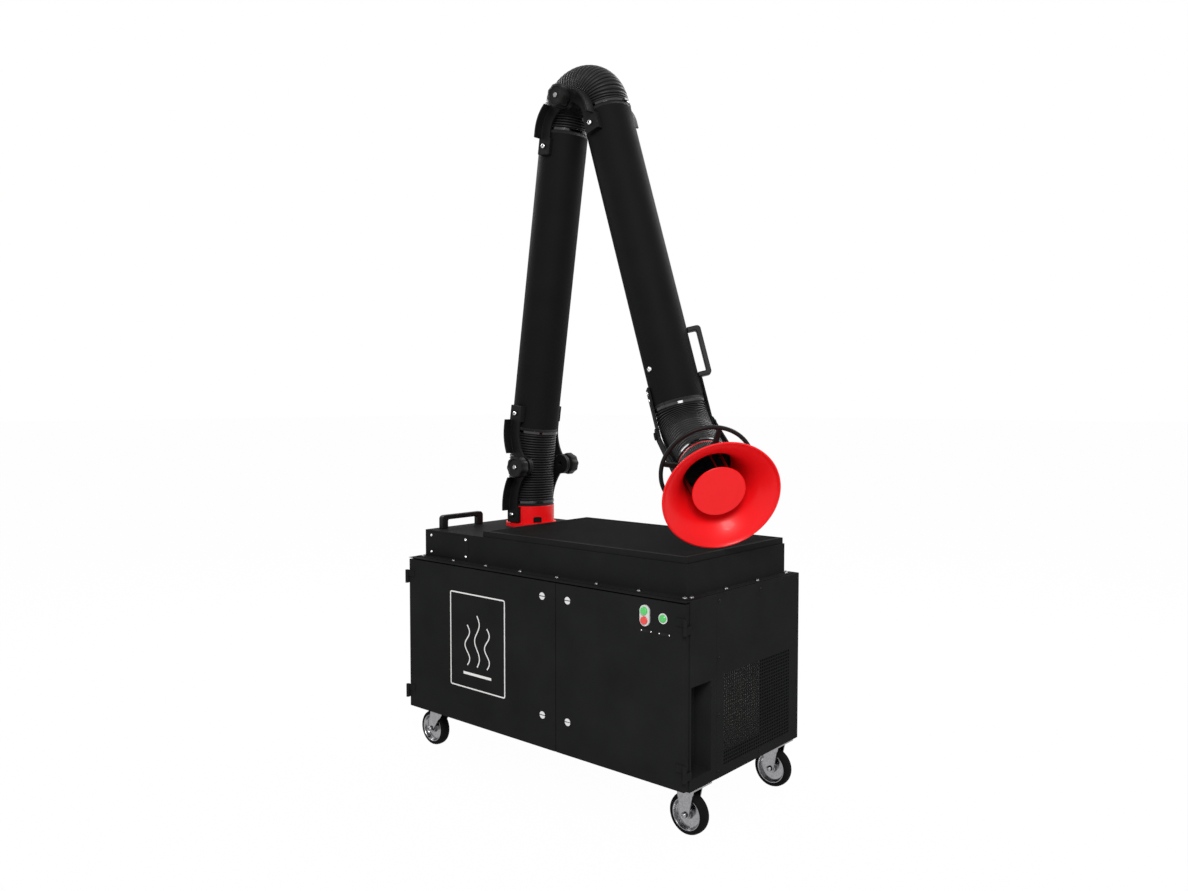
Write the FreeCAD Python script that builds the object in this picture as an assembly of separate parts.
import FreeCAD, Part

import math
import os

from FreeCAD import Vector as V

# A mobile fume extractor: a cabinet on castors with a jointed extraction arm and a round hood.
# Millimetres, +Z up. The origin is on the floor, under the centre of the cabinet's plan.

# Cabinet
CABINET_WIDTH = 1150.0
CABINET_DEPTH = 600.0
CABINET_HEIGHT = 515.0
CABINET_LIFT = 140.0
SHEET = 2.0
SHEET_GAP = 0.4
PAN_FLANGE = 30.0
DOOR_DEPTH = 20.0
RIGHT_DOOR_SHARE = 468.0
DOOR_SPLIT_GAP = 3.0
DOOR_EDGE_GAP = 2.5
DOOR_END_GAP = 6.0
DOOR_SEAT_GAP = 2.0
POST_WIDTH = 40.0

# Right side: corner post with its recess, and the grille panel
CORNER_POST_WIDTH = 148.0
RECESS_FRONT = 28.0
RECESS_WIDTH = 95.0
RECESS_BOTTOM = 33.0
RECESS_HEIGHT = 249.0
RECESS_DEPTH = 60.0
GRILLE_FRONT = 182.0
GRILLE_BACK = 54.0
GRILLE_BOTTOM = 27.0
GRILLE_HEIGHT = 263.0
GRILLE_COLUMNS = 20
GRILLE_ROWS = 14
GRILLE_BAR = 3.0

# Plenum, tray and push handle on top
PLENUM_SIDE_INSET = 30.0
PLENUM_FRONT_INSET = 48.0
PLENUM_BACK_INSET = 38.0
PLENUM_HEIGHT = 92.0
PLENUM_FLANGE = 22.0
TRAY_ARM_GAP = 15.0
TRAY_INSET = 4.0
TRAY_HEIGHT = 18.0
TRAY_RIM = 14.0
TRAY_RECESS = 5.0
MAT_THICKNESS = 4.0
MAT_GAP = 1.0
PUSH_HANDLE_INSET = 30.0
PUSH_HANDLE_FRONT = 103.0
PUSH_HANDLE_SPAN = 161.0
PUSH_HANDLE_RISE = 46.0
PUSH_HANDLE_BAR = 16.0
PUSH_HANDLE_WIDTH = 20.0
PUSH_HANDLE_FOOT = 26.0
BOW_OUTER_ROUND = 0.8
BOW_INNER_ROUND = 0.35

# Screws
SCREW_HEAD_RADIUS = 5.0
SCREW_HEAD_HEIGHT = 3.0
LEDGE_SCREW_INSET = 9.0
FRONT_SCREW_COUNT = 8
SIDE_SCREW_COUNT = 4

# Door furniture
HINGE_LEAF = 3.0
HINGE_LEAF_REACH = 32.0
HINGE_SEAT = 5.0
HINGE_KNUCKLE_RADIUS = 6.0
HINGE_PIN_RADIUS = 3.0
HINGE_LENGTH = 44.0
HINGE_LOW = 58.0
HINGE_TOP = 65.0
LOCK_OFFSET = 51.0
LOCK_LOW = 107.0
LOCK_TOP = 50.0
LOCK_HEAD_RADIUS = 11.0
LOCK_HEAD_HEIGHT = 4.0
LOCK_SPINDLE_RADIUS = 6.0
LOCK_CAM_LENGTH = 40.0
LOCK_CAM_WIDTH = 13.0
LOCK_CAM_THICKNESS = 3.0
LOCK_CAM_GAP = 3.0
LOCK_SLOT = 2.5
BUTTON_INSET = 133.0
BUTTON_TOP = 52.0
BUTTON_RADIUS = 11.0
BUTTON_PITCH = 26.0
BUTTON_PROUD = 5.0
BUTTON_TAIL = 9.0
BEZEL_RADIUS = 16.0
BEZEL_HEIGHT = 6.0
LAMP_INSET = 72.0
LAMP_RADIUS = 11.0
LAMP_RING = 3.0
LAMP_HEIGHT = 8.0
RUNNING_FIT = 0.05

# Filters and fan
FILTER_LEFT = 105.0
FILTER_RIGHT = 37.0
FILTER_FRONT = 75.0
FILTER_DEPTH = 220.0
FILTER_HEIGHT = 360.0
FILTER_FRAME = 16.0
FILTER_PLEATS = 18
PLEAT_SHEET = 4.0
EXHAUST_FILTER_INSET = 107.0
EXHAUST_FILTER_DEPTH = 50.0
EXHAUST_FILTER_HEIGHT = 320.0
EXHAUST_PLEATS = 9
FAN_Y = 20.0
FAN_RISE = 280.0
FAN_INLET_RADIUS = 100.0
SCROLL_WIDTH = 104.0
SCROLL_START = 150.0
SCROLL_GROWTH = 50.0
SCROLL_SWEEP = 270.0
SCROLL_STEPS = 12
IMPELLER_RADIUS = 132.0
IMPELLER_WIDTH = 76.0
IMPELLER_GAP = 12.0
IMPELLER_BLADES = 10
IMPELLER_HUB_RADIUS = 24.0
IMPELLER_HUB_LENGTH = 46.0
BLADE_START = 63.0
BLADE_LENGTH = 73.0
BLADE_SWEEP = 35.0
SHAFT_RADIUS = 11.0
MOTOR_RADIUS = 78.0
MOTOR_LENGTH = 170.0
MOTOR_FINS = 9

# Castors
WHEEL_RADIUS = 59.0
WHEEL_WIDTH = 32.0
TYRE_THICKNESS = 14.0
WHEEL_HUB_RADIUS = 14.4
AXLE_RADIUS = 6.0
CASTOR_SIDE_INSET = 40.0
CASTOR_END_INSET = 78.0
CASTOR_TRAIL = 30.0
CASTOR_PLATE_LENGTH = 80.0
CASTOR_PLATE_WIDTH = 100.0
CASTOR_PLATE = 4.0
FORK_SHEET = 4.0
FORK_GAP = 3.0
FORK_TOP = 58.0
FORK_FOOT = 26.0
SWIVEL_RADIUS = 28.0
SWIVEL_HEIGHT = 10.0
KINGPIN_RADIUS = 8.0
SWIVEL_GAP = 0.3

# Arm
ARM_SIDE_INSET = 210.0
ARM_BACK_INSET = 223.0
TUBE_RADIUS = 80.0
TUBE_WALL = 2.5
COLLAR_HEIGHT = 58.0
FLANGE_RADIUS = 88.0
FLANGE_THICKNESS = 14.0
SHOULDER_RISE = 213.0
SHOULDER_SIDE = 62.0
SHOULDER_GAP = 128.0
LOWER_LEAN = 8.3
LOWER_REACH = 1174.0
LOWER_CUFF = 60.0
ELBOW_ALONG = 42.0
ELBOW_SIDE = 78.0
UPPER_LEAN = 17.3
UPPER_REACH = 1010.0
UPPER_CUFF = 40.0

# Hoses
HOSE_CREST = 79.0
HOSE_ROOT = 75.0
HOSE_BORE = 72.0
HOSE_SEAT_GAP = 0.4
SHOULDER_RIBS = 18
ELBOW_RIBS = 30
HOOD_RIBS = 24
# Each rib's outline: shares of its pitch with the radius there
RIB_PROFILE = ((0.15, HOSE_ROOT), (0.4, HOSE_ROOT), (0.6, HOSE_CREST), (0.95, HOSE_CREST))
CUFF_STRAIGHT = 20.0
CLAMP_WIDTH = 8.0
CLAMP_THICKNESS = 2.0
CLAMP_SETBACK = 14.0

# Links
LINK_INNER = 84.0
LINK_PLATE = 8.0
LINK_WIDTH = 42.0
LINK_RIB = 6.0
LINK_RIB_HEIGHT = 30.0
LINK_SIDE_GAP = 0.4
LINK_CLIP_BACK = 46.0
LINK_CLIP_LENGTH = 54.0
LINK_CLIP_WIDTH = 50.0
LINK_HUB_RADIUS = 34.0
LINK_RIB_CLEAR = 62.0
BOLT_RADIUS = 7.0
BOLT_HEIGHT = 6.0
KNOB_RADIUS = 38.0
KNOB_HEIGHT = 44.0
KNOB_NECK_RADIUS = 26.0
KNOB_NECK = 10.0
PIVOT_RADIUS = 8.0

# Upper tube handle
GRIP_DISTANCE = 143.0
GRIP_LENGTH = 146.0
GRIP_RISE = 42.0
GRIP_BAR = 15.0
GRIP_WIDTH = 24.0
GRIP_TURN = 40.0

# Hood
HOOD_PIVOT = 89.0
HOOD_TURN = 45.75
HOOD_TILT = 52.0
EAR_INNER = 82.0
EAR_SHEET = 5.0
EAR_WIDTH = 46.0
EAR_TAIL = 62.0
EAR_SIDE_GAP = 0.4
HOOD_COLLAR_START = 226.0
HOOD_THROAT = 240.0
HOOD_LENGTH = 403.0
HOOD_RADIUS = 163.0
HOOD_BELL = 0.62
HOOD_WALL = 3.0
HOOD_LIP = 4.0
BAFFLE_RADIUS = 76.0
BAFFLE_SETBACK = 28.0
BAFFLE_THICKNESS = 4.0
BAFFLE_FINS = 8
FIN_THICKNESS = 3.0
RING_RADIUS = 135.0
RING_SECTION = 6.5
RING_PLACE = 250.0
RING_SPOKES = 4
SPOKE_RADIUS = 5.0
SPOKE_TURN = 68.0
YOKE_REACH = 330.0

# Places worked out from the sizes above
LEFT_X = -CABINET_WIDTH / 2
RIGHT_X = CABINET_WIDTH / 2
FRONT_Y = -CABINET_DEPTH / 2
BACK_Y = CABINET_DEPTH / 2
FLOOR_Z = CABINET_LIFT
DECK_Z = CABINET_LIFT + CABINET_HEIGHT
PLENUM_Z = DECK_Z + PLENUM_HEIGHT
DOOR_BACK_Y = FRONT_Y + DOOR_DEPTH
CARCASS_Y = DOOR_BACK_Y + DOOR_SEAT_GAP
INNER_LEFT_X = LEFT_X + SHEET
INNER_RIGHT_X = RIGHT_X - SHEET
INNER_BACK_Y = BACK_Y - SHEET
X_AXIS = V(1, 0, 0)
Y_AXIS = V(0, 1, 0)
Z_AXIS = V(0, 0, 1)
HINGE_PIN_X = RIGHT_X + HINGE_LEAF
HINGE_PIN_Y = FRONT_Y - HINGE_KNUCKLE_RADIUS
DOOR_LEFT_X = LEFT_X + DOOR_EDGE_GAP
DOOR_RIGHT_X = RIGHT_X - DOOR_EDGE_GAP
DOOR_SPLIT_X = RIGHT_X - RIGHT_DOOR_SHARE
DOOR_MEET_LEFT = DOOR_SPLIT_X - DOOR_SPLIT_GAP / 2
DOOR_MEET_RIGHT = DOOR_SPLIT_X + DOOR_SPLIT_GAP / 2
DOOR_LOW_Z = FLOOR_Z + DOOR_END_GAP
DOOR_HIGH_Z = DECK_Z - DOOR_END_GAP
BUTTON_X = RIGHT_X - BUTTON_INSET
BUTTON_Z = DECK_Z - BUTTON_TOP
GRILLE_WIDTH = CABINET_DEPTH - GRILLE_FRONT - GRILLE_BACK
FILTER_LENGTH = DOOR_SPLIT_X - FILTER_RIGHT - LEFT_X - FILTER_LEFT
FAN_Z = FLOOR_Z + FAN_RISE
CASTOR_X = RIGHT_X - CASTOR_SIDE_INSET
CASTOR_Y = BACK_Y - CASTOR_END_INSET
ARM_X = LEFT_X + ARM_SIDE_INSET
ARM_Y = BACK_Y - ARM_BACK_INSET
TRAY_LEFT_X = ARM_X + FLANGE_RADIUS + TRAY_ARM_GAP


def block(x0, x1, y0, y1, z0, z1):
    """Box between two corners."""
    return Part.makeBox(x1 - x0, y1 - y0, z1 - z0, V(x0, y0, z0))


def rod(start, axis, radius, length):
    """Cylinder from a start point along an axis."""
    return Part.makeCylinder(radius, length, start, axis)


def ring(start, axis, outer, inner, length):
    """Plain bush: a cylinder with a bore."""
    return rod(start, axis, outer, length).cut(rod(start, axis, inner, length))


def join(shapes):
    """One solid from shapes that touch or overlap."""
    return shapes[0].multiFuse(shapes[1:]).removeSplitter()


def prism(points, along):
    """Solid pulled from a closed outline."""
    return Part.Face(Part.makePolygon(points + [points[0]])).extrude(along)


def write(name, shapes):
    """One STEP file for a node."""
    solid = shapes[0] if len(shapes) == 1 else Part.makeCompound(shapes)
    solid.exportStep(f"parts/{name}.step")
    count = sum(len(shape.Solids) for shape in shapes)
    print(f"{name}: {count} solids, {solid.Volume / 1000:.1f} cm3, valid {solid.isValid()}")


def frame_at(origin, along, side):
    """Placement whose X is along, Y is side and Z is their normal."""
    normal = along.cross(side)
    matrix = FreeCAD.Matrix(
        along.x, side.x, normal.x, origin.x,
        along.y, side.y, normal.y, origin.y,
        along.z, side.z, normal.z, origin.z,
    )
    return FreeCAD.Placement(matrix)


def moved(shape, placement):
    """Copy of a shape at a placement."""
    copy = shape.copy()
    copy.Placement = placement.multiply(copy.Placement)
    return copy


def base_pan():
    """Floor of the cabinet with upturned edges, open for the castor bolts' plates below."""
    outer = block(INNER_LEFT_X, INNER_RIGHT_X, CARCASS_Y, INNER_BACK_Y, FLOOR_Z, FLOOR_Z + PAN_FLANGE)
    inner = block(
        INNER_LEFT_X + SHEET, INNER_RIGHT_X - SHEET, CARCASS_Y + SHEET, INNER_BACK_Y - SHEET,
        FLOOR_Z + SHEET, FLOOR_Z + PAN_FLANGE,
    )
    return outer.cut(inner)


def left_panel():
    """Left skin with an inward flange behind the door."""
    skin = block(LEFT_X, INNER_LEFT_X, CARCASS_Y, BACK_Y, FLOOR_Z, DECK_Z)
    flange = block(
        LEFT_X, INNER_LEFT_X + PAN_FLANGE / 2, CARCASS_Y, CARCASS_Y + SHEET,
        FLOOR_Z + PAN_FLANGE + SHEET_GAP, DECK_Z - PAN_FLANGE - SHEET_GAP,
    )
    return join([skin, flange])


def back_panel():
    """Flat back skin between the side skins."""
    return block(INNER_LEFT_X, INNER_RIGHT_X, INNER_BACK_Y, BACK_Y, FLOOR_Z, DECK_Z)


def corner_post():
    """Strip of the right side next to the door, with a tall recess and a flange behind the door."""
    post_back = FRONT_Y + CORNER_POST_WIDTH
    skin = block(INNER_RIGHT_X, RIGHT_X, CARCASS_Y, post_back, FLOOR_Z, DECK_Z)
    flange = block(
        INNER_RIGHT_X - PAN_FLANGE / 2, RIGHT_X, CARCASS_Y, CARCASS_Y + SHEET,
        FLOOR_Z + PAN_FLANGE + SHEET_GAP, DECK_Z - PAN_FLANGE - SHEET_GAP,
    )
    y0 = FRONT_Y + RECESS_FRONT
    y1 = y0 + RECESS_WIDTH
    z0 = FLOOR_Z + RECESS_BOTTOM
    z1 = z0 + RECESS_HEIGHT
    pocket = block(RIGHT_X - RECESS_DEPTH, INNER_RIGHT_X, y0 - SHEET, y1 + SHEET, z0 - SHEET, z1 + SHEET)
    hollow = block(RIGHT_X - RECESS_DEPTH + SHEET, RIGHT_X, y0, y1, z0, z1)
    return join([skin, flange, pocket]).cut(hollow)


def grille_panel():
    """Screwed-on right panel with a field of square holes, cut as one holed face."""
    y0 = FRONT_Y + CORNER_POST_WIDTH
    wall = [V(INNER_RIGHT_X, y0, FLOOR_Z), V(INNER_RIGHT_X, INNER_BACK_Y, FLOOR_Z)]
    wall += [V(INNER_RIGHT_X, INNER_BACK_Y, DECK_Z), V(INNER_RIGHT_X, y0, DECK_Z)]
    wires = [Part.makePolygon(wall + [wall[0]])]
    pitch_y = GRILLE_WIDTH / GRILLE_COLUMNS
    pitch_z = GRILLE_HEIGHT / GRILLE_ROWS
    for column in range(GRILLE_COLUMNS):
        for row in range(GRILLE_ROWS):
            a = FRONT_Y + GRILLE_FRONT + column * pitch_y + GRILLE_BAR / 2
            b = a + pitch_y - GRILLE_BAR
            c = FLOOR_Z + GRILLE_BOTTOM + row * pitch_z + GRILLE_BAR / 2
            d = c + pitch_z - GRILLE_BAR
            corners = [V(INNER_RIGHT_X, y, z) for y, z in ((a, c), (b, c), (b, d), (a, d))]
            wires.append(Part.makePolygon(corners + [corners[0]]))
    face = Part.makeFace(wires, "Part::FaceMakerBullseye")
    return face.extrude(V(SHEET, 0, 0))


def top_deck():
    """Deck with downturned edges and an air hole below the arm, and the eave welded on over the doors."""
    outer = block(INNER_LEFT_X, INNER_RIGHT_X, CARCASS_Y, INNER_BACK_Y, DECK_Z - PAN_FLANGE, DECK_Z)
    inner = block(
        INNER_LEFT_X + SHEET, INNER_RIGHT_X - SHEET, CARCASS_Y + SHEET, INNER_BACK_Y - SHEET,
        DECK_Z - PAN_FLANGE, DECK_Z - SHEET,
    )
    eave = block(LEFT_X, RIGHT_X, FRONT_Y, CARCASS_Y, DECK_Z - SHEET, DECK_Z)
    hole = rod(V(ARM_X, ARM_Y, DECK_Z - PAN_FLANGE), Z_AXIS, TUBE_RADIUS, PAN_FLANGE)
    return [outer.cut(inner).cut(hole), eave]


def plenum_box(inset, z0, z1):
    """Block of the plenum's plan, drawn in by an inset."""
    return block(
        LEFT_X + PLENUM_SIDE_INSET + inset, RIGHT_X - PLENUM_SIDE_INSET - inset,
        FRONT_Y + PLENUM_FRONT_INSET + inset, BACK_Y - PLENUM_BACK_INSET - inset, z0, z1,
    )


def plenum_cover():
    """Folded cover on the deck, with a foot flange and a hole below the arm."""
    shell = plenum_box(0, DECK_Z, PLENUM_Z).fuse(plenum_box(-PLENUM_FLANGE, DECK_Z, DECK_Z + SHEET))
    shell = shell.cut(plenum_box(SHEET, DECK_Z, PLENUM_Z - SHEET))
    hole = rod(V(ARM_X, ARM_Y, DECK_Z), Z_AXIS, TUBE_RADIUS, PLENUM_HEIGHT)
    return shell.cut(hole).removeSplitter()


def tray_box(inset, z0, z1):
    """Block of the tray's plan, drawn in by an inset."""
    return block(
        TRAY_LEFT_X + inset, RIGHT_X - PLENUM_SIDE_INSET - TRAY_INSET - inset,
        FRONT_Y + PLENUM_FRONT_INSET + TRAY_INSET + inset,
        BACK_Y - PLENUM_BACK_INSET - TRAY_INSET - inset, z0, z1,
    )


def tool_tray():
    """Inverted pan on the plenum, with a raised rim round a sunk floor."""
    top = PLENUM_Z + TRAY_HEIGHT
    pan = tray_box(0, PLENUM_Z, top).cut(tray_box(TRAY_RIM, top - TRAY_RECESS, top))
    return pan.cut(tray_box(SHEET, PLENUM_Z, top - TRAY_RECESS - SHEET))


def tray_mat():
    """Rubber mat in the tray."""
    z0 = PLENUM_Z + TRAY_HEIGHT - TRAY_RECESS
    return tray_box(TRAY_RIM + MAT_GAP, z0, z0 + MAT_THICKNESS)


def bow_handle(span, rise, bar, width, foot):
    """Bow handle with feet on X = 0 and X = span, standing up Z, rounded outside and inside."""
    outer = block(-foot / 2, span + foot / 2, -width / 2, width / 2, 0, rise)
    outer = outer.makeFillet(bar * BOW_OUTER_ROUND, [e for e in outer.Edges if is_across(e, rise)])
    inner = block(foot / 2, span - foot / 2, -width / 2, width / 2, 0, rise - bar)
    inner = inner.makeFillet(bar * BOW_INNER_ROUND, [e for e in inner.Edges if is_across(e, rise - bar)])
    return outer.cut(inner)


def is_across(edge, height):
    """True for an upper edge that runs along Y."""
    a, b = edge.Vertexes[0].Point, edge.Vertexes[1].Point
    return abs(a.y - b.y) > 1 and min(a.z, b.z) > height - 1e-6


def push_handle():
    """Moulded bow handle on the left end of the plenum."""
    bow = bow_handle(PUSH_HANDLE_SPAN, PUSH_HANDLE_RISE, PUSH_HANDLE_BAR, PUSH_HANDLE_WIDTH, PUSH_HANDLE_FOOT)
    x = LEFT_X + PLENUM_SIDE_INSET + PUSH_HANDLE_INSET
    foot = V(x, FRONT_Y + PUSH_HANDLE_FRONT, PLENUM_Z)
    return moved(bow, frame_at(foot, Y_AXIS, V(-1, 0, 0)))


def spread(first, last, count):
    """Evenly spaced values with both ends."""
    return [first + (last - first) * i / (count - 1) for i in range(count)]


def screw_head(seat, axis):
    """Round screw head on its seat."""
    return rod(seat, axis, SCREW_HEAD_RADIUS, SCREW_HEAD_HEIGHT)


def cover_screws():
    """Screw heads of the plenum's flange and of the grille panel."""
    left = LEFT_X + PLENUM_SIDE_INSET
    right = RIGHT_X - PLENUM_SIDE_INSET
    front = FRONT_Y + PLENUM_FRONT_INSET
    back = BACK_Y - PLENUM_BACK_INSET
    seat = DECK_Z + SHEET
    heads = []
    for x in spread(left, right, FRONT_SCREW_COUNT):
        heads.append(screw_head(V(x, front - LEDGE_SCREW_INSET, seat), Z_AXIS))
        heads.append(screw_head(V(x, back + LEDGE_SCREW_INSET, seat), Z_AXIS))
    for y in spread(front + LEDGE_SCREW_INSET, back - LEDGE_SCREW_INSET, SIDE_SCREW_COUNT):
        heads.append(screw_head(V(left - LEDGE_SCREW_INSET, y, seat), Z_AXIS))
        heads.append(screw_head(V(right + LEDGE_SCREW_INSET, y, seat), Z_AXIS))
    edge = 2 * SCREW_HEAD_RADIUS + LEDGE_SCREW_INSET
    panel_front = FRONT_Y + CORNER_POST_WIDTH + LEDGE_SCREW_INSET
    panel_back = INNER_BACK_Y - LEDGE_SCREW_INSET
    for z in spread(FLOOR_Z + edge, DECK_Z - edge, SIDE_SCREW_COUNT):
        heads.append(screw_head(V(RIGHT_X, panel_front, z), X_AXIS))
        heads.append(screw_head(V(RIGHT_X, panel_back, z), X_AXIS))
    for z in (FLOOR_Z + edge, DECK_Z - edge):
        heads.append(screw_head(V(RIGHT_X, (panel_front + panel_back) / 2, z), X_AXIS))
    return heads


def partition():
    """Wall between the filter and fan rooms, with the post that the locks hook behind."""
    x0 = DOOR_SPLIT_X - SHEET / 2
    z0 = FLOOR_Z + SHEET
    z1 = DECK_Z - SHEET
    post_y = CARCASS_Y + SHEET
    half = POST_WIDTH / 2
    wall = block(x0, x0 + SHEET, post_y + SHEET, INNER_BACK_Y - SHEET, z0, z1)
    post = block(DOOR_SPLIT_X - half, DOOR_SPLIT_X + half, post_y, post_y + SHEET, z0, z1)
    inlet = rod(V(x0, FAN_Y, FAN_Z), X_AXIS, FAN_INLET_RADIUS, SHEET)
    return join([wall, post]).cut(inlet)


def pleats(length, depth, height, count, sheet):
    """Folded filter paper: a zigzag along X, deep in Y, standing up Z."""
    pitch = length / count
    near = []
    for i in range(count):
        near += [V(i * pitch, 0, 0), V((i + 0.5) * pitch, depth - sheet, 0)]
    near.append(V(length, 0, 0))
    far = [V(p.x, p.y + sheet, 0) for p in reversed(near)]
    return prism(near + far, V(0, 0, height))


def filter_frame(length, depth, height, frame):
    """Open frame round a pleat pack, open on both faces."""
    hole = block(frame, length - frame, 0, depth, frame, height - frame)
    return block(0, length, 0, depth, 0, height).cut(hole)


def main_filter():
    """Filter cassette on the pan, in the left room."""
    frame = filter_frame(FILTER_LENGTH, FILTER_DEPTH, FILTER_HEIGHT, FILTER_FRAME)
    pack = pleats(
        FILTER_LENGTH - 2 * FILTER_FRAME, FILTER_DEPTH - FILTER_FRAME, FILTER_HEIGHT - 2 * FILTER_FRAME,
        FILTER_PLEATS, PLEAT_SHEET,
    )
    pack.translate(V(FILTER_FRAME, FILTER_FRAME / 2, FILTER_FRAME))
    seat = V(LEFT_X + FILTER_LEFT, FRONT_Y + FILTER_FRONT, FLOOR_Z + SHEET)
    return [shape.translated(seat) for shape in (frame, pack)]


def exhaust_filter():
    """Pleated outlet filter on the pan, behind the grille."""
    length = GRILLE_WIDTH
    frame = filter_frame(length, EXHAUST_FILTER_DEPTH, EXHAUST_FILTER_HEIGHT, FILTER_FRAME)
    pack = pleats(
        length - 2 * FILTER_FRAME, EXHAUST_FILTER_DEPTH - FILTER_FRAME / 2,
        EXHAUST_FILTER_HEIGHT - 2 * FILTER_FRAME, EXHAUST_PLEATS, PLEAT_SHEET,
    )
    pack.translate(V(FILTER_FRAME, FILTER_FRAME / 4, FILTER_FRAME))
    seat = V(RIGHT_X - EXHAUST_FILTER_INSET, FRONT_Y + GRILLE_FRONT, FLOOR_Z + SHEET)
    place = frame_at(seat, Y_AXIS, V(-1, 0, 0))
    return [moved(shape, place) for shape in (frame, pack)]


def scroll_outline(extra):
    """Spiral outline of the fan's scroll in Y and Z, opened by a wall thickness."""
    x = DOOR_SPLIT_X + SHEET / 2
    points = []
    for i in range(SCROLL_STEPS + 1):
        share = i / SCROLL_STEPS
        turn = math.radians(SCROLL_SWEEP * share)
        radius = SCROLL_START + SCROLL_GROWTH * share + extra
        points.append(V(x, FAN_Y - radius * math.cos(turn), FAN_Z + radius * math.sin(turn)))
    curve = Part.BSplineCurve()
    curve.interpolate(points)
    foot = V(x, FAN_Y - SCROLL_START - extra, points[-1].z)
    edges = [curve.toShape(), Part.makeLine(points[-1], foot), Part.makeLine(foot, points[0])]
    return Part.Face(Part.Wire(edges))


def fan_scroll():
    """Spiral housing on the partition: two cheeks and a rim, with the inlet and an outlet at its foot."""
    body = scroll_outline(SHEET).extrude(V(SCROLL_WIDTH, 0, 0))
    room = scroll_outline(0).extrude(V(SCROLL_WIDTH - 2 * SHEET, 0, 0)).translated(V(SHEET, 0, 0))
    x0 = DOOR_SPLIT_X + SHEET / 2
    inlet = rod(V(x0, FAN_Y, FAN_Z), X_AXIS, FAN_INLET_RADIUS, SHEET)
    shaft = rod(V(x0, FAN_Y, FAN_Z), X_AXIS, 2 * SHAFT_RADIUS, SCROLL_WIDTH)
    low = FAN_Z - SCROLL_START - SCROLL_GROWTH
    outlet = block(
        x0 + SHEET, x0 + SCROLL_WIDTH - SHEET, FAN_Y - SCROLL_START, FAN_Y - SCROLL_START / 3,
        low - 3 * SHEET, FAN_Z - SCROLL_START,
    )
    return body.cut(room).cut(inlet).cut(shaft).cut(outlet)


def fan_motor():
    """Finned motor on the back of the scroll, with its shaft."""
    x0 = DOOR_SPLIT_X + SHEET / 2 + SCROLL_WIDTH
    centre = V(x0, FAN_Y, FAN_Z)
    flange = rod(centre, X_AXIS, MOTOR_RADIUS, 3 * SHEET)
    can = rod(centre, X_AXIS, MOTOR_RADIUS - 4 * SHEET, MOTOR_LENGTH)
    pitch = MOTOR_LENGTH / (MOTOR_FINS + 1)
    starts = [centre + V(pitch * (i + 1), 0, 0) for i in range(MOTOR_FINS)]
    fins = [rod(start, X_AXIS, MOTOR_RADIUS, pitch / 3) for start in starts]
    reach = SCROLL_WIDTH - SHEET - IMPELLER_GAP
    shaft = rod(centre - V(reach, 0, 0), X_AXIS, SHAFT_RADIUS, reach)
    return join([flange, can, shaft] + fins)


def impeller():
    """Back plate, hub and backward blades on the motor's shaft."""
    x1 = DOOR_SPLIT_X + SHEET / 2 + SCROLL_WIDTH - SHEET - IMPELLER_GAP
    back = V(x1 - 2 * SHEET, FAN_Y, FAN_Z)
    plate = rod(back, X_AXIS, IMPELLER_RADIUS, 2 * SHEET)
    hub_start = back - V(IMPELLER_HUB_LENGTH, 0, 0)
    hub = rod(hub_start, X_AXIS, IMPELLER_HUB_RADIUS, IMPELLER_HUB_LENGTH)
    blades = []
    for i in range(IMPELLER_BLADES):
        blade = block(-IMPELLER_WIDTH, 0, -SHEET, SHEET, 0, BLADE_LENGTH)
        blade.rotate(V(0, 0, 0), X_AXIS, BLADE_SWEEP)
        blade.translate(V(0, 0, BLADE_START))
        blade.rotate(V(0, 0, 0), X_AXIS, 360.0 * i / IMPELLER_BLADES)
        blades.append(blade.translated(back))
    front = back - V(IMPELLER_WIDTH, 0, 0)
    length = IMPELLER_WIDTH + 2 * SHEET
    cut_round = rod(front, X_AXIS, IMPELLER_RADIUS, length)
    bore = rod(front, X_AXIS, SHAFT_RADIUS + RUNNING_FIT, length)
    return join([plate, hub] + blades).common(cut_round).cut(bore)


def hinge_heights():
    """Middle heights of the two hinges of a door."""
    return [FLOOR_Z + HINGE_LOW, DECK_Z - HINGE_TOP]


def hinge_leaf_fixed(side, z):
    """Leaf on the side skin with the lower knuckle and the pin."""
    pin_x = side * HINGE_PIN_X
    low = z - HINGE_LENGTH / 2
    xs = sorted([side * RIGHT_X, side * HINGE_PIN_X])
    leaf = block(xs[0], xs[1], HINGE_PIN_Y, CARCASS_Y + HINGE_SEAT, low, z)
    knuckle = rod(V(pin_x, HINGE_PIN_Y, low), Z_AXIS, HINGE_KNUCKLE_RADIUS, HINGE_LENGTH / 2)
    pin = rod(V(pin_x, HINGE_PIN_Y, low), Z_AXIS, HINGE_PIN_RADIUS, HINGE_LENGTH)
    return join([leaf, knuckle, pin])


def hinge_leaf_moving(side, z):
    """Leaf on the door's face with the upper knuckle."""
    pin_x = side * HINGE_PIN_X
    high = HINGE_LENGTH / 2 - SWIVEL_GAP
    xs = sorted([pin_x, side * (HINGE_PIN_X - HINGE_LEAF_REACH)])
    leaf = block(xs[0], xs[1], FRONT_Y - HINGE_LEAF, FRONT_Y, z + SWIVEL_GAP, z + HINGE_LENGTH / 2)
    knuckle = rod(V(pin_x, HINGE_PIN_Y, z + SWIVEL_GAP), Z_AXIS, HINGE_KNUCKLE_RADIUS, high)
    bore = rod(V(pin_x, HINGE_PIN_Y, z), Z_AXIS, HINGE_PIN_RADIUS + RUNNING_FIT, HINGE_LENGTH)
    return join([leaf, knuckle]).cut(bore)


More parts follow.
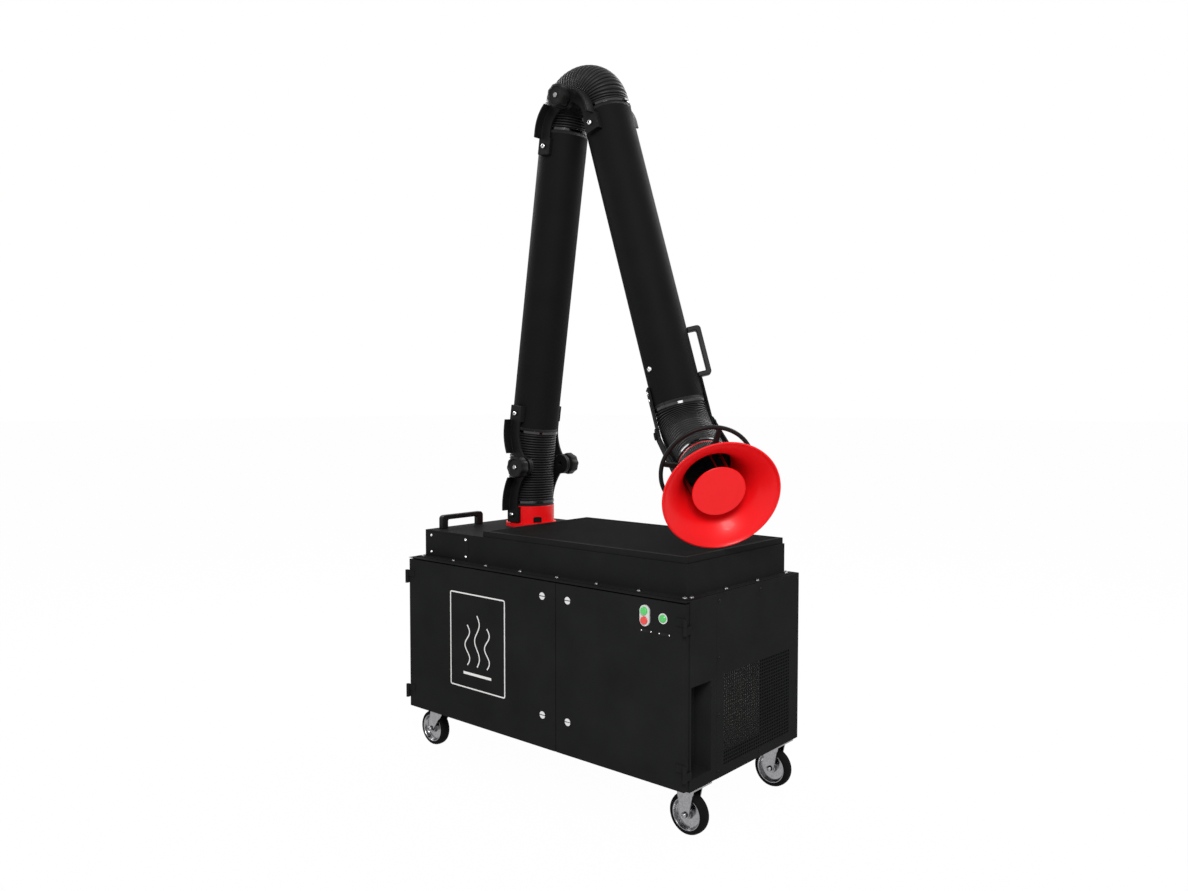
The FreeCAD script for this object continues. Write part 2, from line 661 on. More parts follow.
def door_pan(x0, x1):
    """Folded door: a front skin with four returns."""
    outer = block(x0, x1, FRONT_Y, DOOR_BACK_Y, DOOR_LOW_Z, DOOR_HIGH_Z)
    low = DOOR_LOW_Z + SHEET
    high = DOOR_HIGH_Z - SHEET
    inner = block(x0 + SHEET, x1 - SHEET, FRONT_Y + SHEET, DOOR_BACK_Y, low, high)
    return outer.cut(inner)


def lock_places(side):
    """Lock centres of a door, by height; side is -1 for the left door and 1 for the right one."""
    x = DOOR_SPLIT_X + side * LOCK_OFFSET
    return {"lower": V(x, FRONT_Y, FLOOR_Z + LOCK_LOW), "upper": V(x, FRONT_Y, DECK_Z - LOCK_TOP)}


def door_with_holes(x0, x1, side, cuts):
    """Door pan with its lock holes and any other cuts."""
    holes = [rod(p, Y_AXIS, LOCK_SPINDLE_RADIUS + RUNNING_FIT, SHEET) for p in lock_places(side).values()]
    return door_pan(x0, x1).cut(holes + cuts)


def quarter_turn_lock(place, way):
    """Slotted head, spindle and cam; at rest the cam points up (way 1) or down (-1), clear of the post."""
    cam_y = CARCASS_Y + 2 * SHEET + LOCK_CAM_GAP
    head = rod(place - V(0, LOCK_HEAD_HEIGHT, 0), Y_AXIS, LOCK_HEAD_RADIUS, LOCK_HEAD_HEIGHT)
    slot = block(
        place.x - LOCK_HEAD_RADIUS, place.x + LOCK_HEAD_RADIUS, place.y - LOCK_HEAD_HEIGHT,
        place.y - LOCK_HEAD_HEIGHT / 2, place.z - LOCK_SLOT / 2, place.z + LOCK_SLOT / 2,
    )
    spindle = rod(place, Y_AXIS, LOCK_SPINDLE_RADIUS, cam_y + LOCK_CAM_THICKNESS - place.y)
    half = LOCK_CAM_WIDTH / 2
    zs = sorted([place.z - way * half, place.z + way * LOCK_CAM_LENGTH])
    cam = block(place.x - half, place.x + half, cam_y, cam_y + LOCK_CAM_THICKNESS, zs[0], zs[1])
    return join([head.cut(slot), spindle, cam])


def button_centre(step):
    """Centre of a button on the door's face: step 0.5 is the upper one, -0.5 the lower."""
    return V(BUTTON_X, FRONT_Y, BUTTON_Z + step * BUTTON_PITCH)


def stadium(extra, y0, y1):
    """Oval block round both buttons."""
    radius = BEZEL_RADIUS + extra
    ends = [rod(V(BUTTON_X, y0, button_centre(s).z), Y_AXIS, radius, y1 - y0) for s in (-0.5, 0.5)]
    low, high = button_centre(-0.5).z, button_centre(0.5).z
    return join(ends + [block(BUTTON_X - radius, BUTTON_X + radius, y0, y1, low, high)])


def button_bezel():
    """Oval frame of the double push-button."""
    frame = stadium(0, FRONT_Y - BEZEL_HEIGHT, FRONT_Y)
    wells = [
        rod(button_centre(s) - V(0, BEZEL_HEIGHT, 0), Y_AXIS, BUTTON_RADIUS + RUNNING_FIT, BEZEL_HEIGHT)
        for s in (-0.5, 0.5)
    ]
    return frame.cut(wells)


def push_button(step):
    """Button with a domed cap that slides in the bezel, with a tail through the door's skin."""
    centre = button_centre(step)
    reach = BEZEL_HEIGHT + BUTTON_PROUD
    stem = rod(centre - V(0, reach, 0), Y_AXIS, BUTTON_RADIUS, reach + BUTTON_TAIL)
    front = [e for e in stem.Edges if e.Closed and abs(e.CenterOfMass.y - (centre.y - reach)) < 1e-6]
    return stem.makeFillet(BUTTON_PROUD / 2, front)


def pilot_lamp():
    """Lamp ring and domed lens on the right door."""
    seat = V(RIGHT_X - LAMP_INSET, FRONT_Y, BUTTON_Z)
    height = BEZEL_HEIGHT / 2
    outer = ring(seat - V(0, height, 0), Y_AXIS, LAMP_RADIUS + LAMP_RING, LAMP_RADIUS, height)
    lens = rod(seat - V(0, LAMP_HEIGHT, 0), Y_AXIS, LAMP_RADIUS, LAMP_HEIGHT)
    front = [e for e in lens.Edges if e.Closed and abs(e.CenterOfMass.y - (seat.y - LAMP_HEIGHT)) < 1e-6]
    return [outer, lens.makeFillet(LAMP_HEIGHT / 2, front)]


def left_door():
    """Left door with its two hinge leaves."""
    pan = door_with_holes(DOOR_LEFT_X, DOOR_MEET_LEFT, -1, [])
    return [pan] + [hinge_leaf_moving(-1, z) for z in hinge_heights()]


def right_door():
    """Right door with its two hinge leaves and the openings of the buttons."""
    wells = [rod(button_centre(s), Y_AXIS, BUTTON_RADIUS + 2 * RUNNING_FIT, SHEET) for s in (-0.5, 0.5)]
    pan = door_with_holes(DOOR_MEET_RIGHT, DOOR_RIGHT_X, 1, wells)
    return [pan] + [hinge_leaf_moving(1, z) for z in hinge_heights()]


def fork_leg(y, thickness, top_x, top_z, lean_x):
    """Tapered fork leg in an XZ plane, from its crown down round the axle."""
    foot = V(lean_x, y, WHEEL_RADIUS)
    crown = [V(top_x - FORK_TOP / 2, y, top_z), V(top_x + FORK_TOP / 2, y, top_z)]
    low = [V(lean_x + FORK_FOOT / 2, y, WHEEL_RADIUS), V(lean_x - FORK_FOOT / 2, y, WHEEL_RADIUS)]
    leg = prism(crown + low, V(0, thickness, 0))
    boss = rod(foot, Y_AXIS, FORK_FOOT / 2, thickness)
    return join([leg, boss])


def castor_fork(top_x, top_z, wheel_x, y):
    """Crown, two legs and the axle of one castor."""
    inner = WHEEL_WIDTH / 2 + FORK_GAP
    crown = block(
        top_x - FORK_TOP / 2, top_x + FORK_TOP / 2, y - inner - FORK_SHEET, y + inner + FORK_SHEET,
        top_z - FORK_SHEET, top_z,
    )
    legs = [
        fork_leg(y - inner - FORK_SHEET, FORK_SHEET, top_x, top_z - FORK_SHEET, wheel_x),
        fork_leg(y + inner, FORK_SHEET, top_x, top_z - FORK_SHEET, wheel_x),
    ]
    axle_length = 2 * (inner + 2 * FORK_SHEET)
    axle = rod(V(wheel_x, y - axle_length / 2, WHEEL_RADIUS), Y_AXIS, AXLE_RADIUS, axle_length)
    return join([crown, axle] + legs)


def castor_plate(x, y):
    """Bolt-on castor plate under the pan."""
    return block(
        x - CASTOR_PLATE_LENGTH / 2, x + CASTOR_PLATE_LENGTH / 2,
        y - CASTOR_PLATE_WIDTH / 2, y + CASTOR_PLATE_WIDTH / 2, FLOOR_Z - CASTOR_PLATE, FLOOR_Z,
    )


def castor_mounts():
    """Right-hand fixed castors whole, and the left-hand plates with their bearings and kingpins."""
    mounts = []
    for y in (-CASTOR_Y, CASTOR_Y):
        fork = castor_fork(CASTOR_X, FLOOR_Z - CASTOR_PLATE, CASTOR_X, y)
        mounts.append(join([castor_plate(CASTOR_X, y), fork]))
    for y in (-CASTOR_Y, CASTOR_Y):
        x = swivel_x()
        low = FLOOR_Z - CASTOR_PLATE - SWIVEL_HEIGHT
        bearing = rod(V(x, y, low), Z_AXIS, SWIVEL_RADIUS, SWIVEL_HEIGHT)
        pin = rod(V(x, y, low - SWIVEL_GAP - FORK_SHEET), Z_AXIS, KINGPIN_RADIUS, FORK_SHEET + SWIVEL_GAP)
        mounts.append(join([castor_plate(x, y), bearing, pin]))
    return mounts


def swivel_x():
    """Place of the left castors' swivel axes."""
    return -CASTOR_X + CASTOR_TRAIL


def swivel_fork(y):
    """Fork of a left castor, trailing outwards, turning on the kingpin."""
    top = FLOOR_Z - CASTOR_PLATE - SWIVEL_HEIGHT - SWIVEL_GAP
    bore = rod(V(swivel_x(), y, top - FORK_SHEET), Z_AXIS, KINGPIN_RADIUS + RUNNING_FIT, FORK_SHEET)
    return castor_fork(swivel_x(), top, -CASTOR_X, y).cut(bore)


def wheel_profile(points, centre):
    """Wheel solid turned from a half section, with the axis along Y."""
    face = Part.Face(Part.makePolygon(points + [points[0]]))
    turned = face.revolve(V(0, 0, 0), Y_AXIS, 360)
    return turned.translated(centre)


def wheel_rim(centre):
    """Dished steel rim on a hub."""
    half = WHEEL_WIDTH / 2
    edge = WHEEL_RADIUS - TYRE_THICKNESS
    bore = AXLE_RADIUS + RUNNING_FIT
    hub = WHEEL_HUB_RADIUS
    web = half / 4
    dish = [(bore, half), (hub, half), (hub, web)]
    dish += [(edge - 2 * SHEET, web), (edge - SHEET, half), (edge, half)]
    points = [V(x, -y, 0) for x, y in dish] + [V(x, y, 0) for x, y in reversed(dish)]
    return wheel_profile(points, centre)


def wheel_tyre(centre):
    """Rubber tyre with a crowned tread, cut flat against the rim."""
    half = WHEEL_WIDTH / 2
    edge = WHEEL_RADIUS - TYRE_THICKNESS
    shoulder = WHEEL_RADIUS - TYRE_THICKNESS / 3
    lines = [
        Part.makeLine(V(shoulder, half, 0), V(edge, half, 0)),
        Part.makeLine(V(edge, half, 0), V(edge, -half, 0)),
        Part.makeLine(V(edge, -half, 0), V(shoulder, -half, 0)),
    ]
    tread = Part.Arc(V(shoulder, -half, 0), V(WHEEL_RADIUS, 0, 0), V(shoulder, half, 0)).toShape()
    face = Part.Face(Part.Wire([tread] + lines))
    return face.revolve(V(0, 0, 0), Y_AXIS, 360).translated(centre)


def wheel_centres():
    """Wheel names and centres."""
    return {
        "front_left": V(-CASTOR_X, -CASTOR_Y, WHEEL_RADIUS),
        "back_left": V(-CASTOR_X, CASTOR_Y, WHEEL_RADIUS),
        "front_right": V(CASTOR_X, -CASTOR_Y, WHEEL_RADIUS),
        "back_right": V(CASTOR_X, CASTOR_Y, WHEEL_RADIUS),
    }


# The arm stands in the plane Y = ARM_Y; lean angles are from the vertical
LOWER_TURN = math.radians(LOWER_LEAN)
UPPER_TURN = math.radians(UPPER_LEAN)
UP_LOWER = V(math.sin(LOWER_TURN), 0, math.cos(LOWER_TURN))
SIDE_LOWER = V(math.cos(LOWER_TURN), 0, -math.sin(LOWER_TURN))
UP_UPPER = V(-math.sin(UPPER_TURN), 0, math.cos(UPPER_TURN))
SIDE_UPPER = V(-math.cos(UPPER_TURN), 0, -math.sin(UPPER_TURN))
DOWN_UPPER = UP_UPPER * -1
FLANGE_TOP = PLENUM_Z + FLANGE_THICKNESS
COLLAR_LOW = FLANGE_TOP + SWIVEL_GAP
COLLAR_TOP = COLLAR_LOW + COLLAR_HEIGHT
COLLAR_END = V(ARM_X, ARM_Y, COLLAR_TOP)
SHOULDER = V(ARM_X + SHOULDER_SIDE, ARM_Y, PLENUM_Z + SHOULDER_RISE)
LOWER_AXIS = SHOULDER - SIDE_LOWER * SHOULDER_SIDE
LOWER_FOOT = LOWER_AXIS + UP_LOWER * SHOULDER_GAP
LOWER_HEAD = LOWER_AXIS + UP_LOWER * (LOWER_REACH - LOWER_CUFF)
ELBOW = LOWER_AXIS + UP_LOWER * (LOWER_REACH + ELBOW_ALONG) + SIDE_LOWER * ELBOW_SIDE
UPPER_AXIS = ELBOW - UP_UPPER * ELBOW_ALONG - SIDE_UPPER * ELBOW_SIDE
UPPER_HEAD = UPPER_AXIS + DOWN_UPPER * UPPER_CUFF
UPPER_FOOT = UPPER_AXIS + DOWN_UPPER * UPPER_REACH
HOOD_JOINT = UPPER_FOOT + DOWN_UPPER * HOOD_PIVOT
OUT_UPPER = SIDE_UPPER * -1
EAR_TURN = math.radians(HOOD_TURN)
EAR_AXIS = Y_AXIS * math.cos(EAR_TURN) + OUT_UPPER * math.sin(EAR_TURN)
TILT = math.radians(HOOD_TILT)
HOOD_AXIS = DOWN_UPPER * math.cos(TILT) + DOWN_UPPER.cross(EAR_AXIS) * math.sin(TILT)
HOOD_START = HOOD_JOINT + HOOD_AXIS * HOOD_COLLAR_START
EAR_FRAME = frame_at(HOOD_JOINT, EAR_AXIS, DOWN_UPPER.cross(EAR_AXIS))
HOOD_FRAME = frame_at(HOOD_JOINT, EAR_AXIS, HOOD_AXIS.cross(EAR_AXIS))


def arm_flange():
    """Bolted ring on the plenum with the spigot that the collar turns on."""
    foot = V(ARM_X, ARM_Y, PLENUM_Z)
    bore = TUBE_RADIUS - 2 * TUBE_WALL
    spigot = TUBE_RADIUS - TUBE_WALL - RUNNING_FIT
    plate = ring(foot, Z_AXIS, FLANGE_RADIUS, bore, FLANGE_THICKNESS)
    neck = ring(foot, Z_AXIS, spigot, bore, FLANGE_THICKNESS + COLLAR_HEIGHT / 2)
    return join([plate, neck])


def swivel_collar():
    """Red collar that turns on the flange's spigot."""
    return ring(V(ARM_X, ARM_Y, COLLAR_LOW), Z_AXIS, TUBE_RADIUS, TUBE_RADIUS - TUBE_WALL, COLLAR_HEIGHT)


def tube(start, end):
    """Steel arm tube between two points of its axis."""
    run = end - start
    return ring(start, run, TUBE_RADIUS, TUBE_RADIUS - TUBE_WALL, run.Length)


def hose_route(start, start_way, end, end_way, straight):
    """Point and direction along a hose that runs straight, bends once and runs straight again."""
    turn = start_way.getAngle(end_way)
    normal = start_way.cross(end_way).normalize()
    chord = end - start
    reach_end = chord.dot(normal.cross(start_way)) / end_way.dot(normal.cross(start_way))
    reach_start = (chord - end_way * reach_end).dot(start_way)
    tangent = min(reach_start, reach_end) - straight
    radius = tangent / math.tan(turn / 2)
    run = reach_start - tangent
    inward = normal.cross(start_way)
    centre = start + start_way * run + inward * radius
    length = run + radius * turn + (reach_end - tangent)

    def at(s):
        if s <= run:
            return start + start_way * s, start_way
        if s >= run + radius * turn:
            return end - end_way * (length - s), end_way
        angle = (s - run) / radius
        way = start_way * math.cos(angle) + inward * math.sin(angle)
        return centre + (start_way * math.sin(angle) - inward * math.cos(angle)) * radius, way

    print(f"hose: bend radius {radius:.1f}, length {length:.1f}")
    return at, length, normal


def hose(start, start_way, end, end_way, straight, ribs):
    """Ribbed hose: a ruled loft through four circles for each rib, with plain cuffs and a bore."""
    at, length, normal = hose_route(start, start_way, end, end_way, straight)

    def circle(s, radius):
        centre, way = at(s)
        edge = Part.makeCircle(radius)
        edge.Placement = frame_at(centre, normal, way.cross(normal))
        return Part.Wire(edge)

    pitch = (length - 2 * CUFF_STRAIGHT) / ribs
    outer = [circle(0, HOSE_CREST), circle(CUFF_STRAIGHT, HOSE_CREST)]
    bore = [circle(0, HOSE_BORE)]
    for i in range(ribs):
        s = CUFF_STRAIGHT + i * pitch
        outer += [circle(s + share * pitch, radius) for share, radius in RIB_PROFILE]
        bore.append(circle(s, HOSE_BORE))
    outer.append(circle(length, HOSE_CREST))
    bore += [circle(length - CUFF_STRAIGHT, HOSE_BORE), circle(length, HOSE_BORE)]
    return Part.makeLoft(outer, True, True).cut(Part.makeLoft(bore, True, True))


def clamp(seat, way, out):
    """Hose clamp: a thin band with its screw housing on the side that out points to."""
    inner = HOSE_CREST + SWIVEL_GAP
    outer = inner + CLAMP_THICKNESS
    start = seat - way * (CLAMP_WIDTH / 2)
    band = ring(start, way, outer, inner, CLAMP_WIDTH)
    half = CLAMP_WIDTH / 2
    housing = block(-half, half, -CLAMP_WIDTH, CLAMP_WIDTH, inner, inner + CLAMP_WIDTH)
    housing = moved(housing, frame_at(seat, way, out.cross(way)))
    housing = housing.cut(rod(start - way * CLAMP_WIDTH, way, outer, 3 * CLAMP_WIDTH))
    return join([band, housing])


def bent_bar(radius, angle, inner, outer, z0, z1):
    """Flat bar bent about (0, radius), from the X axis round to an angle in radians."""
    bar = Part.makeCylinder(outer, z1 - z0, V(0, radius, z0), Z_AXIS, math.degrees(angle))
    bar = bar.cut(Part.makeCylinder(inner, z1 - z0, V(0, radius, z0), Z_AXIS))
    bar.rotate(V(0, radius, 0), Z_AXIS, -90)
    return bar


def link(along, side, clip_back, level):
    """Curved link: a clip on the tube, a bent plate with a rib on its outer edge, and a hub on the pivot."""
    radius = (along ** 2 + side ** 2) / (2 * side)
    angle = math.atan2(along, radius - side)
    half = LINK_WIDTH / 2
    top = level + LINK_PLATE
    crest = top + LINK_RIB_HEIGHT
    clip_start = -clip_back - LINK_CLIP_LENGTH / 2
    clip_end = -clip_back + LINK_CLIP_LENGTH / 2
    clip = block(clip_start, clip_end, -LINK_CLIP_WIDTH / 2, LINK_CLIP_WIDTH / 2, TUBE_RADIUS / 2, top)
    clip = clip.cut(rod(V(2 * clip_start, 0, 0), X_AXIS, TUBE_RADIUS, -3 * clip_start))
    strip = block(-clip_back, 0, -half, half, level, top)
    plate = bent_bar(radius, angle, radius - half, radius + half, level, top)
    rib_angle = angle - LINK_RIB_CLEAR / radius
    rib = bent_bar(radius, rib_angle, radius + half - LINK_RIB, radius + half, level, crest)
    rib_foot = block(-clip_back / 2, 0, -half, -half + LINK_RIB, level, crest)
    hub = rod(V(along, side, level), Z_AXIS, LINK_HUB_RADIUS, LINK_PLATE)
    bore = rod(V(along, side, level), Z_AXIS, PIVOT_RADIUS + RUNNING_FIT, LINK_PLATE)
    return join([clip, strip, plate, rib, rib_foot, hub]).cut(bore)


def both_sides(shape, place):
    """A shape and its mirror image across the arm's plane, in a tube's frame."""
    return [moved(shape, place), moved(shape.mirror(V(0, 0, 0), Z_AXIS), place)]


INNER_LEVEL = LINK_INNER
OUTER_LEVEL = LINK_INNER + LINK_PLATE + LINK_SIDE_GAP
COLLAR_FRAME = frame_at(COLLAR_END, Z_AXIS, X_AXIS)
LOWER_FOOT_FRAME = frame_at(LOWER_FOOT, UP_LOWER * -1, SIDE_LOWER)
LOWER_HEAD_FRAME = frame_at(LOWER_HEAD, UP_LOWER, SIDE_LOWER)
UPPER_HEAD_FRAME = frame_at(UPPER_HEAD, UP_UPPER, SIDE_UPPER)
COLLAR_CLIP = COLLAR_HEIGHT / 2
TUBE_CLIP = LINK_CLIP_BACK


def shoulder_links():
    """Links on the collar."""
    rise = SHOULDER.z - COLLAR_TOP
    return both_sides(link(rise, SHOULDER_SIDE, COLLAR_CLIP, INNER_LEVEL), COLLAR_FRAME)


def lower_tube_links():
    """Links on both ends of the lower tube."""
    foot = both_sides(link(SHOULDER_GAP, SHOULDER_SIDE, TUBE_CLIP, OUTER_LEVEL), LOWER_FOOT_FRAME)
    head = both_sides(link(LOWER_CUFF + ELBOW_ALONG, ELBOW_SIDE, TUBE_CLIP, INNER_LEVEL), LOWER_HEAD_FRAME)
    return foot + head


def upper_tube_links():
    """Links on the upper tube's head."""
    return both_sides(link(UPPER_CUFF + ELBOW_ALONG, ELBOW_SIDE, TUBE_CLIP, OUTER_LEVEL), UPPER_HEAD_FRAME)


def friction_knob():
    """Knob with its neck and pivot pin, on the Z axis."""
    start = OUTER_LEVEL + LINK_PLATE + LINK_SIDE_GAP
    neck = rod(V(0, 0, start), Z_AXIS, KNOB_NECK_RADIUS, KNOB_NECK)
    cap = rod(V(0, 0, start + KNOB_NECK), Z_AXIS, KNOB_RADIUS, KNOB_HEIGHT - KNOB_NECK)
    rims = [e for e in cap.Edges if e.Closed]
    cap = cap.makeFillet(KNOB_NECK / 3, rims)
    dish = rod(V(0, 0, start + KNOB_HEIGHT - KNOB_NECK / 2), Z_AXIS, KNOB_NECK_RADIUS, KNOB_NECK)
    nut = rod(V(0, 0, start + KNOB_HEIGHT - KNOB_NECK / 2), Z_AXIS, PIVOT_RADIUS, KNOB_NECK / 2)
    pin = rod(V(0, 0, INNER_LEVEL), Z_AXIS, PIVOT_RADIUS, start - INNER_LEVEL + KNOB_NECK)
    return join([join([neck, cap]).cut(dish), nut, pin])


def friction_knobs():
    """Two knobs at the shoulder and two at the elbow, carried by the lower tube's links."""
    knob = friction_knob()
    knobs = []
    for place in (SHOULDER, ELBOW):
        knobs += both_sides(knob, frame_at(place, X_AXIS, V(0, 0, -1)))
    return knobs


def link_bolts(clip_back, level, place):
    """Bolt heads on the clips of one tube end."""
    head = rod(V(-clip_back, 0, level + LINK_PLATE), Z_AXIS, BOLT_RADIUS, BOLT_HEIGHT)
    return both_sides(head, place)


def collar_fittings():
    """Bolts and hose clamp of the collar's end."""
    seat = COLLAR_END + Z_AXIS * CLAMP_SETBACK
    return link_bolts(COLLAR_CLIP, INNER_LEVEL, COLLAR_FRAME) + [clamp(seat, Z_AXIS, V(-1, 0, 0))]


def lower_tube_fittings():
    """Bolts and hose clamps of the lower tube."""
    bolts = link_bolts(TUBE_CLIP, OUTER_LEVEL, LOWER_FOOT_FRAME)
    bolts += link_bolts(TUBE_CLIP, INNER_LEVEL, LOWER_HEAD_FRAME)
    out = SIDE_LOWER * -1
    foot = clamp(LOWER_FOOT - UP_LOWER * CLAMP_SETBACK, UP_LOWER, out)
    head = clamp(LOWER_HEAD + UP_LOWER * CLAMP_SETBACK, UP_LOWER, out)
    return bolts + [foot, head]


def upper_tube_fittings():
    """Bolts and hose clamps of the upper tube."""
    bolts = link_bolts(TUBE_CLIP, OUTER_LEVEL, UPPER_HEAD_FRAME)
    head = clamp(UPPER_HEAD + UP_UPPER * CLAMP_SETBACK, UP_UPPER, OUT_UPPER)
    foot = clamp(UPPER_FOOT + DOWN_UPPER * CLAMP_SETBACK, DOWN_UPPER, EAR_AXIS.cross(DOWN_UPPER))
    return bolts + [head, foot]


def arm_handle():
    """Bow handle on the upper tube, hollowed to sit on it."""
    sunk = GRIP_BAR / 4
    turn = math.radians(GRIP_TURN)
    out = OUT_UPPER * math.cos(turn) + Y_AXIS * math.sin(turn)
    start = UPPER_FOOT - DOWN_UPPER * (GRIP_DISTANCE + GRIP_LENGTH / 2) + out * (TUBE_RADIUS - sunk)
    bow = bow_handle(GRIP_LENGTH, GRIP_RISE + sunk, GRIP_BAR, GRIP_WIDTH, GRIP_BAR)
    bow = moved(bow, frame_at(start, DOWN_UPPER, out.cross(DOWN_UPPER)))
    return bow.cut(rod(UPPER_HEAD, DOWN_UPPER, TUBE_RADIUS, UPPER_REACH))


def ear(level, z0, z1):
    """Flat ear beside the hood's pivot, with its eye and bore."""
    plate = block(level, level + EAR_SHEET, -EAR_WIDTH / 2, EAR_WIDTH / 2, z0, z1)
    eye = rod(V(level, 0, 0), X_AXIS, EAR_WIDTH / 2, EAR_SHEET)
    bore = rod(V(level, 0, 0), X_AXIS, AXLE_RADIUS + RUNNING_FIT, EAR_SHEET)
    return join([plate, eye]).cut(bore)


def both_ears(shape, place):
    """An ear and the one across the neck."""
    return [moved(shape, place), moved(shape.mirror(V(0, 0, 0), X_AXIS), place)]


def hood_ears():
    """Ears on the upper tube's end, each on a pad hollowed to the tube."""
    start = -HOOD_PIVOT - EAR_TAIL
    end = -HOOD_PIVOT - EAR_WIDTH / 4
    pad = block(TUBE_RADIUS / 2, EAR_INNER, -EAR_WIDTH / 4, EAR_WIDTH / 4, start, end)
    pad = pad.cut(rod(V(0, 0, start), Z_AXIS, TUBE_RADIUS, end - start))
    return both_ears(join([ear(EAR_INNER, start, 0), pad]), EAR_FRAME)


HOOD_EAR_LEVEL = EAR_INNER + EAR_SHEET + EAR_SIDE_GAP


def bell_line():
    """Outer line of the hood's half section: its neck, then the flare up to the lip."""
    bell_z = HOOD_THROAT + (HOOD_LENGTH - HOOD_THROAT) * HOOD_BELL
    bend = V((2 * TUBE_RADIUS + HOOD_RADIUS) / 3 - HOOD_WALL, 0, bell_z)
    start = V(TUBE_RADIUS, 0, HOOD_COLLAR_START)
    throat = V(TUBE_RADIUS, 0, HOOD_THROAT)
    lip_root = V(HOOD_RADIUS, 0, HOOD_LENGTH - HOOD_LIP)
    return start, throat, bend, lip_root


def bell_body():
    """The hood filled to its axis, which cuts the pieces that sit on its outside."""
    start, throat, bend, lip_root = bell_line()
    low = V(0, 0, start.z)
    high = V(0, 0, lip_root.z)
    edges = [Part.makeLine(start, throat), Part.Arc(throat, bend, lip_root).toShape()]
    edges += [Part.makeLine(lip_root, high), Part.makeLine(high, low), Part.makeLine(low, start)]
    return Part.Face(Part.Wire(edges)).revolve(V(0, 0, 0), Z_AXIS, 360)


def hood_yoke():
    """Ears outside those of the tube that reach to the hood's flare, each with its pivot bolt."""
    shape = ear(HOOD_EAR_LEVEL, 0, YOKE_REACH).cut(bell_body())
    head = rod(V(HOOD_EAR_LEVEL + EAR_SHEET, 0, 0), X_AXIS, 2 * AXLE_RADIUS, BOLT_HEIGHT)
    pin = rod(V(EAR_INNER, 0, 0), X_AXIS, AXLE_RADIUS, HOOD_EAR_LEVEL + EAR_SHEET - EAR_INNER)
    return both_ears(shape, HOOD_FRAME) + both_ears(join([head, pin]), HOOD_FRAME)


def hood():
    """Spun hood: a short neck that flares to a lipped mouth."""
    start, throat, bend, lip_root = bell_line()
    shift = V(-HOOD_WALL, 0, 0)
    mouth = V(HOOD_RADIUS, 0, HOOD_LENGTH)
    lip_out = V(HOOD_RADIUS + HOOD_LIP, 0, HOOD_LENGTH)
    lip_back = lip_out - V(0, 0, HOOD_LIP)
    edges = [
        Part.makeLine(start, throat),
        Part.Arc(throat, bend, lip_root).toShape(),
        Part.makeLine(lip_root, lip_back),
        Part.makeLine(lip_back, lip_out),
        Part.makeLine(lip_out, mouth + shift),
        Part.Arc(mouth + shift, bend + shift, throat + shift).toShape(),
        Part.makeLine(throat + shift, start + shift),
        Part.makeLine(start + shift, start),
    ]
    solid = Part.Face(Part.Wire(edges)).revolve(V(0, 0, 0), Z_AXIS, 360)
    return moved(solid, HOOD_FRAME)


def hood_baffle():
    """Round baffle on fins that stand in the hood's throat."""
    back = HOOD_LENGTH - BAFFLE_SETBACK - BAFFLE_THICKNESS
    disc = rod(V(0, 0, back), Z_AXIS, BAFFLE_RADIUS, BAFFLE_THICKNESS)
    bore = TUBE_RADIUS - HOOD_WALL - SWIVEL_GAP
    low = HOOD_COLLAR_START
    fins = []
    for i in range(BAFFLE_FINS):
        fin = block(bore - BAFFLE_SETBACK, bore, -FIN_THICKNESS / 2, FIN_THICKNESS / 2, low, HOOD_THROAT)
        post = block(
            bore - BAFFLE_SETBACK, bore - HOOD_WALL, -FIN_THICKNESS / 2, FIN_THICKNESS / 2, HOOD_THROAT, back,
        )
        fin = join([fin, post]).common(rod(V(0, 0, low), Z_AXIS, bore, back - low))
        fin.rotate(V(0, 0, 0), Z_AXIS, 360.0 * (i + 0.5) / BAFFLE_FINS)
        fins.append(fin)
    return moved(join([disc] + fins), HOOD_FRAME)


def hand_ring():
    """Ring round the hood on spokes that stand on its flare."""
    rim = Part.makeTorus(RING_RADIUS, RING_SECTION, V(0, 0, RING_PLACE), Z_AXIS)
    spokes = []
    for i in range(RING_SPOKES):
        spoke = rod(V(0, 0, RING_PLACE), X_AXIS, SPOKE_RADIUS, RING_RADIUS)
        spoke.rotate(V(0, 0, 0), Z_AXIS, SPOKE_TURN + 360.0 * i / RING_SPOKES)
        spokes.append(spoke)
    return moved(join([rim] + spokes).cut(bell_body()), HOOD_FRAME)


def hood_clamp():
    """Clamp of the hood hose's lower end."""
    return clamp(HOOD_START - HOOD_AXIS * CLAMP_SETBACK, HOOD_AXIS, EAR_AXIS.cross(HOOD_AXIS))


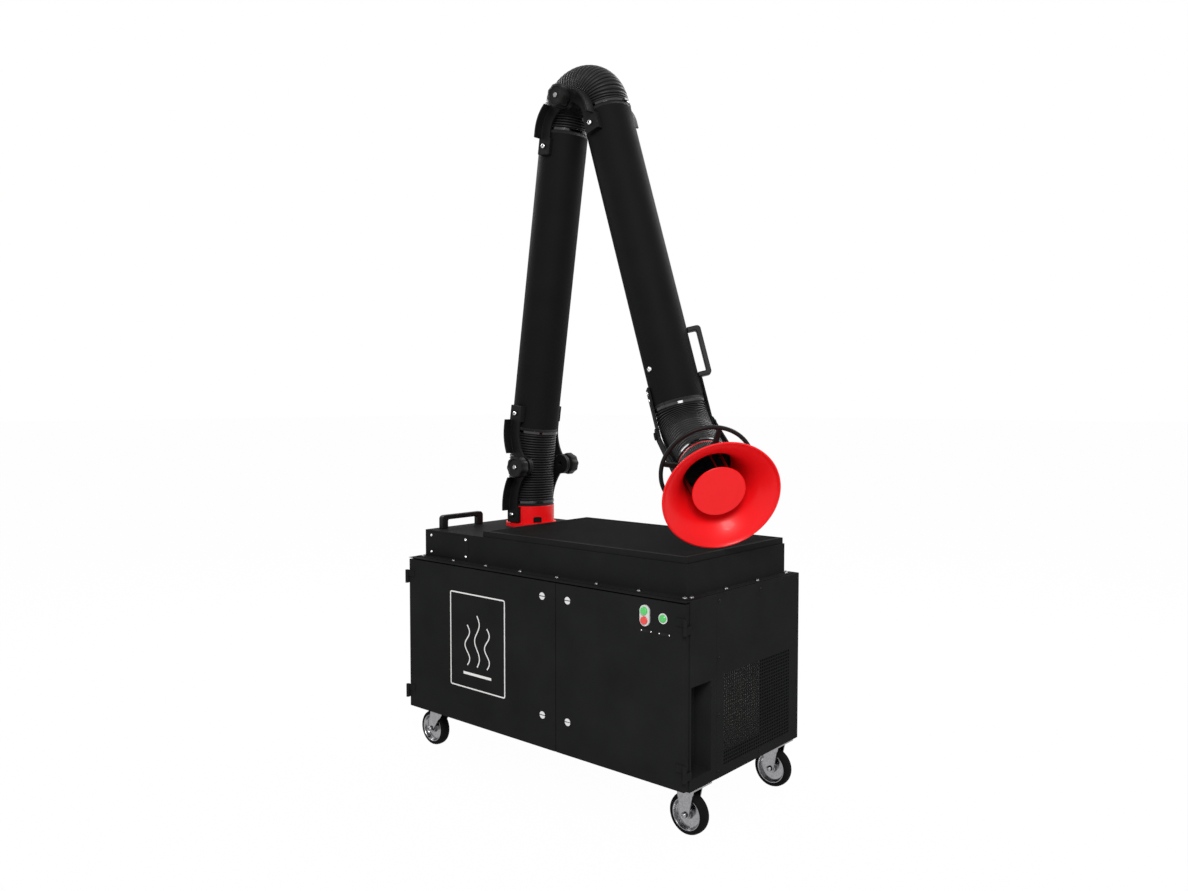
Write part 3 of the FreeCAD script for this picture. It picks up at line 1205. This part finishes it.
def build():
    """Every node of the part."""
    os.makedirs("parts", exist_ok=True)
    write("base_pan", [base_pan()])
    write("left_panel", [left_panel()])
    write("back_panel", [back_panel()])
    write("corner_post", [corner_post()])
    write("grille_panel", [grille_panel()])
    write("top_deck", top_deck())
    write("plenum_cover", [plenum_cover()])
    write("tool_tray", [tool_tray()])
    write("tray_mat", [tray_mat()])
    write("push_handle", [push_handle()])
    write("cover_screws", cover_screws())
    write("partition", [partition()])
    write("main_filter", main_filter())
    write("exhaust_filter", exhaust_filter())
    write("fan_scroll", [fan_scroll()])
    write("fan_motor", [fan_motor()])
    write("impeller", [impeller()])
    write("hinge_leaves", [hinge_leaf_fixed(side, z) for side in (-1, 1) for z in hinge_heights()])
    write("left_door", left_door())
    write("right_door", right_door())
    for side, name in ((-1, "left"), (1, "right")):
        for level, place in lock_places(side).items():
            write(f"{name}_lock_{level}", [quarter_turn_lock(place, 1 if level == "lower" else -1)])
    write("button_bezel", [button_bezel()])
    write("start_button", [push_button(0.5)])
    write("stop_button", [push_button(-0.5)])
    write("pilot_lamp", pilot_lamp())
    write("castor_mounts", castor_mounts())
    write("swivel_fork_front", [swivel_fork(-CASTOR_Y)])
    write("swivel_fork_back", [swivel_fork(CASTOR_Y)])
    for name, centre in wheel_centres().items():
        write(f"rim_{name}", [wheel_rim(centre)])
        write(f"tyre_{name}", [wheel_tyre(centre)])
    write("arm_flange", [arm_flange()])
    write("swivel_collar", [swivel_collar()])
    write("collar_links", shoulder_links())
    write("collar_fittings", collar_fittings())
    shoulder_end = LOWER_FOOT - UP_LOWER * HOSE_SEAT_GAP
    write("shoulder_hose", [hose(COLLAR_END, Z_AXIS, shoulder_end, UP_LOWER, CUFF_STRAIGHT, SHOULDER_RIBS)])
    write("lower_tube", [tube(LOWER_FOOT, LOWER_HEAD)])
    write("lower_tube_links", lower_tube_links())
    write("lower_tube_fittings", lower_tube_fittings())
    write("friction_knobs", friction_knobs())
    elbow_end = UPPER_HEAD - DOWN_UPPER * HOSE_SEAT_GAP
    write("elbow_hose", [hose(LOWER_HEAD, UP_LOWER, elbow_end, DOWN_UPPER, UPPER_CUFF, ELBOW_RIBS)])
    write("upper_tube", [tube(UPPER_HEAD, UPPER_FOOT)])
    write("upper_tube_links", upper_tube_links())
    write("upper_tube_fittings", upper_tube_fittings())
    write("arm_handle", [arm_handle()])
    write("hood_ears", hood_ears())
    hood_end = HOOD_START - HOOD_AXIS * HOSE_SEAT_GAP
    write("hood_hose", [hose(UPPER_FOOT, DOWN_UPPER, hood_end, HOOD_AXIS, CUFF_STRAIGHT, HOOD_RIBS)])
    write("hood", [hood()])
    write("hood_yoke", hood_yoke())
    write("hood_clamp", [hood_clamp()])
    write("hood_baffle", [hood_baffle()])
    write("hand_ring", [hand_ring()])


build()
